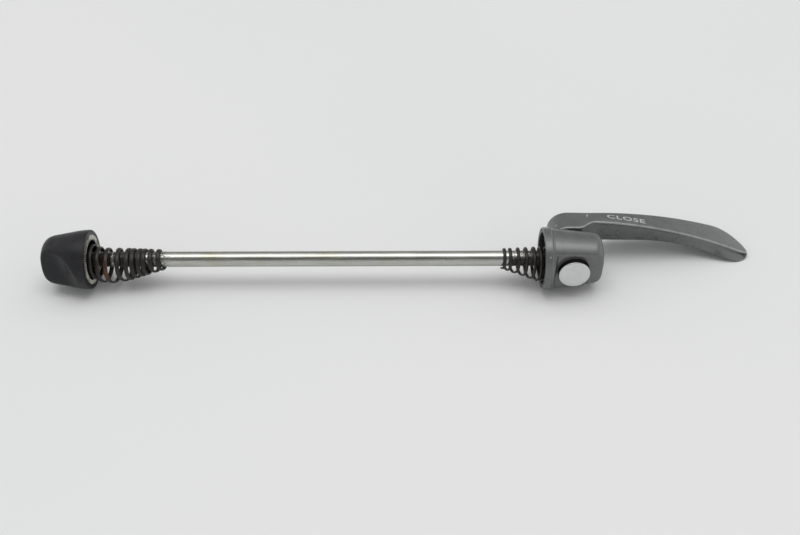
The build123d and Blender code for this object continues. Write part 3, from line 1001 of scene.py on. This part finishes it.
# each ring from the cup's floor to its rim: place, radius, share of a tooth's depth, painted shade
cup_loop = np.array([
    (cup_depth, 0, 0, 1),
    (cup_depth, cup_r - cup_round, 0, 1),
    (cup_depth - cup_round, cup_r, 0, 1),
    (lip_round, cup_r, 0, 0.15),
    (0, cup_r + lip_round, 0, 0.15),
    (0, cup_r + 0.25, 0, 0),
    (0, cup_r + 0.35, 1, 0),
    (0, rim_r - 0.6, 1, 0),
    (0, rim_r - 0.5, 0, 0),
    (0, rim_r - 0.3, 0, 0),
])
head_turn = np.linspace(0, 2 * np.pi, 6 * head_teeth, endpoint=False)[None, :]
side_x = np.concatenate([
    np.linspace(0.3, 2.1, 6), np.linspace(2.2, 4.4, 23), np.linspace(4.8, head_fan_x, 15)])
head_points = np.concatenate([
    toothed_rings(cup_loop, head_turn, head_teeth, head_tooth_depth),
    rings((rim_break,), (rim_r - rim_break,), head_turn),
    side_rays(outside_head, side_x, head_turn),
    fan_rays(outside_head, head_fan_x, np.linspace(0.04, np.pi / 2, 44), head_turn),
])
print("head skin:", len(head_points), "rings of", head_points.shape[1], "points")

# %% [markdown]
# The chamber is as wide as the eye needs to rise, fall and slide with the eccentric. It is cut with a
# plain block, and the shaft's bore with two bars, the front one wide enough for the shaft's round head.

# %% Cut the chamber and the bore, and paint the head
chamber_y, chamber_z, chamber_end = 3.1, 6.6, 16.6
disc_r, tail_r, bore_gap = shaft_high[2], 2.5, 0.05
cut_reach = 12.0
block = np.array([(-1, -1), (1, -1), (1, 1), (-1, 1)]) * (chamber_y, chamber_z)
chamber = np.stack([np.column_stack([np.full(4, x), block]) for x in (1.0, chamber_end)])
head_cutters = [with_closed_ends(chamber),
                bar_along_y(pivot_x, disc_r + bore_gap, -cut_reach, 0),
                bar_along_y(pivot_x, tail_r + bore_gap, 0, cut_reach)]
# painted shade in the cup: near black deep inside, lighter at the mouth
cup_painted_shade = np.zeros(head_points.shape[:2])
cup_painted_shade[:len(cup_loop)] = cup_loop[:, 3:]
head_mesh = make_mesh("head_casting", [(head_points, False, True)], {"grime_and_shade": [cup_painted_shade]})
head_nicks = (
    ((1.4, -7.4, 6.7), 0.35, (1, 0.5, 1), bright_chip),
    ((8.2, 2.6, 8.6), 0.3, (0.6, 1, 1), (0.24, 0.245, 0.24)),
)
head_paint = grey_paint("head_paint", head_nicks, with_painted_shade=True)
add_piece("head_casting", head_mesh, "head", head_paint, ["head_body"], 35, head_cutters)

# %% [markdown]
# ## The cross shaft
#
# One turned bar with four stages: a polished round head, an eccentric for the rod's eye, a round tail that
# runs in the head, and a square end pressed into the lever. A ring that is round or square only differs in
# the power that joins its two half widths: two gives a circle, and a high one a square with small corners.

# %% Polished steel, with painted shade round the edge
def polished_shaft():
    """Bright steel with fine turning rings about the shaft, and black where the painted shade mark is high.
    """
    finish = Finish("polished_shaft")
    turning = finish.add("TexWave", wave_type="RINGS", rings_direction="Y")
    finish.feed(turning.inputs["Vector"], finish.place(shift_mm=(pivot_x, 0, 0)))
    turning.inputs["Scale"].default_value = 1.6
    turning.inputs["Distortion"].default_value = 0.6
    smear = finish.noise(0.5, detail=4, rough=0.6)
    steel = finish.blend(finish.mask(smear, 0.35, 0.7), (0.66, 0.665, 0.67), (0.62, 0.625, 0.63))
    # painted shade: the round head's side wall is black, dull and without reflection
    grime_and_shade = finish.attribute("grime_and_shade")
    colour = finish.blend(grime_and_shade, steel, (0.008, 0.007, 0.006))
    metallic = finish.mask(grime_and_shade, 0, 1, 1.0, 0.0)
    polish = finish.mask(smear, 0.3, 0.7, 0.2, 0.26)
    roughness = finish.math("ADD", polish, finish.mask(grime_and_shade, 0, 1, 0, 0.4))
    finish.feed(finish.shader.inputs["Specular IOR Level"], finish.mask(grime_and_shade, 0, 1, 0.5, 0.05))
    return finish.shade(colour, roughness, metallic, finish.bump(turning.outputs["Fac"], 0.004, 0.5))


shaft_finish = polished_shaft()

# %% Stages of the shaft
disc_edge, square_edge = 0.35, 0.3
cam_r, cam_rise, shank_half = 3.6, 1.0, 1.75
face_y, end_y = shaft_low[1], shaft_high[1]
round_power, square_power = 2, 12
# each ring: place, radius, rise of the centre, power, painted shade
disc_face = [(face_y, radius, 0, round_power, 0) for radius in (0, 1.6, 3.2, disc_r - disc_edge)]
disc_break = [(face_y + back * disc_edge, disc_r - inward * disc_edge, 0, round_power, 0)
              for back, inward in ((0.1, 0.5), (0.5, 0.1))]
disc_wall = [(y, disc_r, 0, round_power, 1) for y in (face_y + disc_edge, face_y + 2, -chamber_y)]
eccentric = [(y, cam_r, cam_rise, round_power, 0.3) for y in (-chamber_y, chamber_y)]
tail = [(y, tail_r, 0, round_power, 0.3) for y in (chamber_y, shelf_y)]
square_end = [(shelf_y, shank_half, 0, square_power, 0),
              (end_y - square_edge, shank_half, 0, square_power, 0),
              (end_y, shank_half - square_edge, 0, square_power, 0),
              (end_y, 0, 0, round_power, 0)]
stages = np.array(disc_face + disc_break + disc_wall + eccentric + tail + square_end)


def shaft_rings(table, around):
    """Rings along Y with a radius, a rise of the centre, and a power: 2 is round, a high one square."""
    y, radius, rise, power = (column[:, None] for column in table.T[:4])
    turn = np.linspace(0, 2 * np.pi, around, endpoint=False)[None, :]
    reach = radius * (np.abs(np.cos(turn)) ** power + np.abs(np.sin(turn)) ** power) ** (-1 / power)
    return np.stack([pivot_x + reach * np.cos(turn), y + 0 * turn, rise + reach * np.sin(turn)], -1)


shaft_points = shaft_rings(stages, around=120)
# painted shade: full on the round head's side wall, lighter inside the head
shaft_painted_shade = np.broadcast_to(stages[:, 4:], shaft_points.shape[:2])
shaft_mesh = make_mesh("cross_shaft", [(shaft_points, False, True)], {"grime_and_shade": [shaft_painted_shade]})
add_piece("cross_shaft", shaft_mesh, "lever", shaft_finish, ["cam_shaft"], 35)

# %% [markdown]
# ## The nut's cap
#
# A black moulding that fingers turn: a cone with two flats that run out in a hollow towards the rim. The
# flats are skewed to the axis. Each is one more distance: the height over a line that climbs gently and
# then turns up along an arc.

# %% Satin black moulding
def black_moulding():
    """Nearly black, dusted in clouds, with pale scuffs drawn out along the axis."""
    finish = Finish("black_moulding", Specular_IOR_Level=0.3)
    grain = finish.noise(3.0, detail=3, rough=0.6)
    dust = finish.noise(0.35, detail=5, rough=0.65, offset=2)
    scuffs = finish.noise(0.9, detail=4, rough=0.7, stretch=(0.3, 1, 1), distort=0.5, offset=6)
    black = finish.blend(finish.mask(dust, 0.4, 0.75), (0.0095, 0.0098, 0.0115), (0.018, 0.0185, 0.0215))
    colour = finish.blend(finish.mask(scuffs, 0.63, 0.75, 0, 0.5), black, (0.06, 0.06, 0.062))
    roughness = finish.mask(dust, 0.3, 0.7, 0.34, 0.48)
    return finish.shade(colour, roughness, None, finish.bump(grain, 0.02, 0.35))


cap_finish = black_moulding()

# %% Distances outside the cap
cap_rim_x, cap_end_x = cap_high[0], cap_low[0]
cap_rim_r, cap_end_r = 9.6, 7.1
cap_end_round, cap_edge, cap_rim_break = 3.5, 0.5, 0.5
cone_r, cone_back, cone_lift = 9.3, 3.4, 0.12
cap_cone = (cone_r - cap_end_r) / (cap_rim_x - cone_back - cap_end_x)
flat_turn, flat_skew = math.radians(162.5), math.radians(22)
flat_half, flat_climb, flat_run = 4.9, math.radians(10), 4.8
hollow_r, hollow_end = 7.7, math.radians(70)
hollow_u = flat_run - hollow_r * math.sin(flat_climb)
hollow_h = flat_half + flat_run * math.tan(flat_climb) + hollow_r * math.cos(flat_climb)


def over_flat(along, across, up):
    """Distance over one flat: a straight climb, then an arc, then a line at the arc's last slope."""
    u = along * math.cos(flat_skew) - across * math.sin(flat_skew)
    bend = np.clip((u - hollow_u) / hollow_r, math.sin(flat_climb), math.sin(hollow_end))
    upright = np.sqrt(1 - bend ** 2)
    beyond = u - hollow_u - hollow_r * bend
    return (up - hollow_h + hollow_r * upright - beyond * bend / upright) * upright


def outside_cap(points):
    """Distance outside the rim, the cone and its end, or over one of the two flats."""
    x, y, z = np.moveaxis(points, -1, 0)
    along = x - cap_end_x
    cone = soft_min(cap_rim_r, cap_end_r + cap_cone * along + cone_lift, cap_edge)
    turned = soft_max(np.hypot(y, z) - cone, -along, cap_end_round)
    up = y * math.cos(flat_turn) + z * math.sin(flat_turn)
    across = -y * math.sin(flat_turn) + z * math.cos(flat_turn)
    flats = np.maximum(over_flat(along, across, up), over_flat(along, -across, -up))
    return soft_max(turned, flats, cap_edge)


print("flats", round(2 * flat_half, 1), "mm apart at the cap's end")

# %% Carve the cap
hole_r, fan_x = 3.2, cap_end_x + 5.0
fan_tilt = np.linspace(0.03, math.atan2(fan_x - cap_end_x, hole_r), 40)
ring_r, wall_r, hub_r = 8.15, 7.35, 4.6
face_x = core_high[0]
ring_back, wall_back, hub_back = face_x - 2.55, face_x - 6.45, core_low[0]
cap_turn = np.linspace(0, 2 * np.pi, 320, endpoint=False)[None, :]
cap_inside = rings(
    (hub_back, hub_back, wall_back, wall_back, ring_back, ring_back, cap_rim_x, cap_rim_x),
    (hole_r, hub_r, hub_r, wall_r, wall_r, ring_r, ring_r, cap_rim_r - cap_rim_break), cap_turn)
quarter = np.linspace(0, np.pi / 2, 6)[1:-1]
cap_corner = rings(cap_rim_x - cap_rim_break * (1 - np.cos(quarter)),
                   cap_rim_r - cap_rim_break * (1 - np.sin(quarter)), cap_turn)
cap_points = np.concatenate([
    side_rays(outside_cap, np.linspace(cap_rim_x - cap_rim_break, fan_x, 36), cap_turn),
    fan_rays(outside_cap, fan_x, fan_tilt, cap_turn), cap_inside, cap_corner,
])
cap_mesh = make_mesh("cap_moulding", [(cap_points, True, True)])
add_piece("cap_moulding", cap_mesh, "nut", cap_finish, ["nut_cap"], 35)

# %% [markdown]
# ## The nut's core
#
# A turned steel part that carries the thread: a toothed ring that bites the frame, a recess for the
# spring, and a hub with a pocket for the lock ring. Its outline is a closed loop of corners spun about the
# axis, and only the ring's face is wavy.

# %% Dull steel, with painted glints on the teeth and a greasy recess in painted shade
def dull_steel():
    """Grey steel dirty in clouds, painted glints on tooth tips, painted shade between, black with grease
    and painted shade.
    """
    finish = Finish("dull_steel")
    grime_and_shade = finish.noise(0.7, detail=5, rough=0.65)
    # painted glints and shade: the steel is lighter on the tooth tips and darker in the grooves
    dirt_and_tooth_shade = finish.math("SUBTRACT", finish.mask(grime_and_shade, 0.35, 0.7), finish.attribute("tip"))
    steel = finish.blend(finish.mask(dirt_and_tooth_shade, -0.3, 0.6), (0.52, 0.51, 0.47), (0.10, 0.095, 0.08))
    # black with grease, and painted shade that deepens into the recess
    depth = finish.math("ADD", finish.attribute("grease_and_shade"), finish.mask(grime_and_shade, 0.3, 0.7, -0.25, 0.25))
    grease_and_shade_share = finish.mask(depth, 0.3, 0.7)
    colour = finish.blend(grease_and_shade_share, steel, (0.010, 0.008, 0.006))
    metallic = finish.mask(grease_and_shade_share, 0, 1, 1.0, 0.1)
    roughness = finish.mask(grime_and_shade, 0.3, 0.7, 0.28, 0.5)
    return finish.shade(colour, roughness, metallic, finish.bump(grime_and_shade, 0.03, 0.4))


core_finish = dull_steel()

# %% Spin the core
recess_r, bore_r, pocket_r = 6.25, rod_r + 0.05, 3.6
floor_x, pocket_x = -150.2, -155.2
core_teeth, core_tooth_depth = 66, 0.4
# each corner of the outline: place, radius, share of a tooth's depth, grease and painted shade
core_loop = np.array([
    (face_x, recess_r + 0.1, 0, 0.4),
    (face_x, recess_r + 0.35, 0, 0.2),
    (face_x, recess_r + 0.5, 1, 0.1),
    (face_x, ring_r - 0.3, 1, 0),
    (face_x - 0.05, ring_r - 0.2, 0.6, 0),
    (face_x - 0.3, ring_r, 0, 0.2),
    (ring_back, ring_r, 0, 0.5),
    (ring_back, wall_r, 0, 1),
    (wall_back, wall_r, 0, 1),
    (wall_back, hub_r, 0, 1),
    (hub_back, hub_r, 0, 1),
    (hub_back, pocket_r, 0, 0.4),
    (pocket_x, pocket_r, 0, 1),
    (pocket_x, bore_r, 0, 1),
    (floor_x, bore_r, 0, 1),
    (floor_x, recess_r, 0, 1),
    (face_x - 1.6, recess_r, 0, 0.9),
    (face_x - 0.1, recess_r, 0, 0.5),
])
core_turn = np.linspace(0, 2 * np.pi, 8 * core_teeth, endpoint=False)[None, :]
core_points = toothed_rings(core_loop, core_turn, core_teeth, -core_tooth_depth)
# painted glints on the tooth crests, painted shade in the grooves
tooth_glint_and_shade = core_loop[:, 2:3] * (1 - 2 * tooth_wave(core_turn, core_teeth))
core_marks = {"grease_and_shade": [np.broadcast_to(core_loop[:, 3:], core_points.shape[:2])], "tip": [tooth_glint_and_shade]}
core_mesh = make_mesh("toothed_core", [(core_points, True, True)], core_marks)
add_piece("toothed_core", core_mesh, "nut", core_finish, ["nut_core"], 30)

# %% [markdown]
# The lock ring is a plain turned ring whose solid is already true, so it stays and only gets its nylon.

# %% Natural nylon
def natural_nylon():
    """Milky white, a little clouded."""
    finish = Finish("natural_nylon")
    cloud = finish.noise(0.8, detail=3, rough=0.5)
    colour = finish.blend(finish.mask(cloud, 0.35, 0.65), (0.62, 0.60, 0.54), (0.72, 0.71, 0.66))
    return finish.shade(colour, finish.mask(cloud, 0.3, 0.7, 0.35, 0.5))


nodes["nut_lock_ring"].data.materials.clear()
nodes["nut_lock_ring"].data.materials.append(natural_nylon())
print("nodes kept as solids: nut_lock_ring")

# %% [markdown]
# ## Table and light
#
# A pale table under a lamp overhead, in a room that is bright to both sides and dim behind the camera. The
# lamp draws the soft shadow below the rod and the bright line along it, the bright sides soften the
# shadows, and the dim wall gives the rod its dark streak.

# %% Table
table_reach, table_steps = 12.0, 9


def pale_table():
    """White, with a hardly visible cloud."""
    finish = Finish("pale_table", Roughness=0.7)
    cloud = finish.noise(0.004, detail=2, rough=0.5)
    return finish.shade(finish.blend(finish.mask(cloud, 0.3, 0.7), (0.79, 0.80, 0.80), (0.81, 0.815, 0.81)))


table_line = np.linspace(-table_reach, table_reach, table_steps)
table_x, table_y = np.meshgrid(table_line, table_line, indexing="ij")
table_points = np.stack([table_x, table_y, np.full_like(table_x, table_z * MM)], -1).reshape(-1, 3)
table_faces = grid_faces(table_steps, table_steps, 0, False, False)
table_mesh = bpy.data.meshes.new("table")
table_mesh.from_pydata(table_points.tolist(), [], table_faces.tolist())
table_mesh.materials.append(pale_table())
table = bpy.data.objects.new("table", table_mesh)
bpy.context.collection.objects.link(table)

# %% Lamps
def overhead_lamp(name, along_deg, across_deg, watts, tilt_deg, height):
    """A lamp above, tilted back, that fills an angle to each side of its middle, along and across."""
    tilt = math.radians(tilt_deg)
    data = bpy.data.lights.new(name, "AREA")
    data.shape = "RECTANGLE"
    data.size = 2 * height * math.tan(math.radians(along_deg))
    data.size_y = 2 * height * math.tan(math.radians(across_deg))
    data.energy = watts
    lamp = bpy.data.objects.new(name, data)
    lamp.location = (view_middle_x * MM, height * math.sin(tilt), height * math.cos(tilt))
    lamp.rotation_euler = (-tilt, 0, 0)
    bpy.context.collection.objects.link(lamp)
    print(name, watts, "W,", round(data.size, 2), "by", round(data.size_y, 2), "m")


overhead_lamp("broad_lamp", along_deg=30, across_deg=28, watts=21, tilt_deg=6, height=3.0)
overhead_lamp("lamp_middle", along_deg=30, across_deg=13, watts=19, tilt_deg=2, height=2.7)

# %% Room
front_levels = ((0.0, 0.70), (0.3, 0.52), (0.5, 0.2), (0.78, 0.18), (0.9, 0.36), (1.0, 0.6))
back_levels = ((0.0, 0.30), (0.45, 0.40), (0.77, 0.55), (1.0, 0.6))
side_levels = ((0.0, 0.85), (0.5, 0.85), (0.8, 0.7), (1.0, 0.6))
front_to_back, middle_to_side = (-0.3, 0.3), (0.3, 0.8)
room = bpy.data.worlds.new("room")
walls = Nodes(room)
split = walls.add("SeparateXYZ")
walls.feed(split.inputs["Vector"], walls.add("TexCoord").outputs["Generated"])


def level_ramp(levels):
    """Light by height: the sine of the elevation picks a level between the given ones."""
    ramp = walls.add("ValToRGB")
    while len(ramp.color_ramp.elements) < len(levels):
        ramp.color_ramp.elements.new(0.5)
    for element, (height, level) in zip(ramp.color_ramp.elements, levels):
        element.position = height
        element.color = (level, level, level, 1)
    walls.feed(ramp.inputs["Fac"], split.outputs["Z"])
    return ramp.outputs["Color"]


backward = walls.mask(split.outputs["Y"], *front_to_back)
sideways = walls.mask(walls.math("ABSOLUTE", split.outputs["X"]), *middle_to_side)
front_or_back = walls.blend(backward, level_ramp(front_levels), level_ramp(back_levels))
light = walls.blend(sideways, front_or_back, level_ramp(side_levels))
walls.feed(walls.tree.nodes["Background"].inputs["Color"], light)
scene.world = room
print("room light by height:", {"front": front_levels, "back": back_levels, "sides": side_levels})
